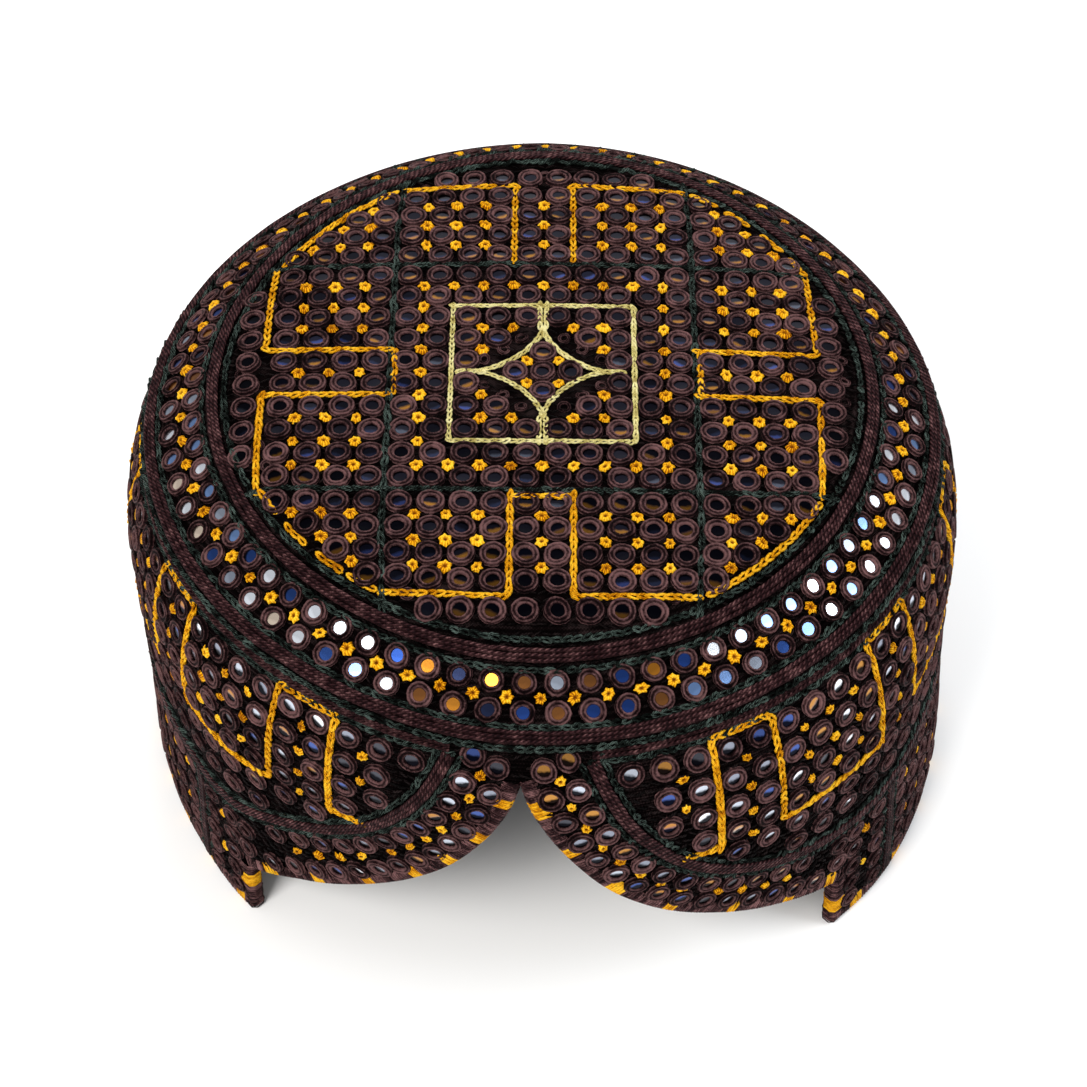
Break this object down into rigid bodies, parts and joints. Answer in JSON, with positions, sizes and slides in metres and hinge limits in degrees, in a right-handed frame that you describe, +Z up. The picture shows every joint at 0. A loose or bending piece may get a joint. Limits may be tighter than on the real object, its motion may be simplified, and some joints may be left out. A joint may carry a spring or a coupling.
{
  "type": "sindhi cap",
  "caption": "Round stiff embroidered cap with a mirror-work crown, a sloping mirror border, laid cord bands and a side wall cut into lobes with a pointed notch in front.",
  "frame": {"origin": "centre of the cap's box in plan, at the bottom of the hem", "axes": "+Z up through the crown, -Y out of the front where the notch is, +X to the viewer's right when the notch faces the viewer"},
  "size_m": [0.1918, 0.1904, 0.114],
  "materials": {
    "cloth": "near-black brown cotton, matt, closely covered with thread work",
    "cord": "plum-brown laid cotton cord with a slight sheen",
    "mirror": "small silvered mirror glass in thread rings"
  },
  "bodies": {
    "root": {"crown": "cloth", "side_wall": "cloth", "mirror_border": "mirror", "crown_cord": "cord", "rim_cord": "cord", "wall_cord": "cord", "panel_cord": "cord", "left_tab_cord": "cord", "right_tab_cord": "cord"}
  },
  "joints": []
}
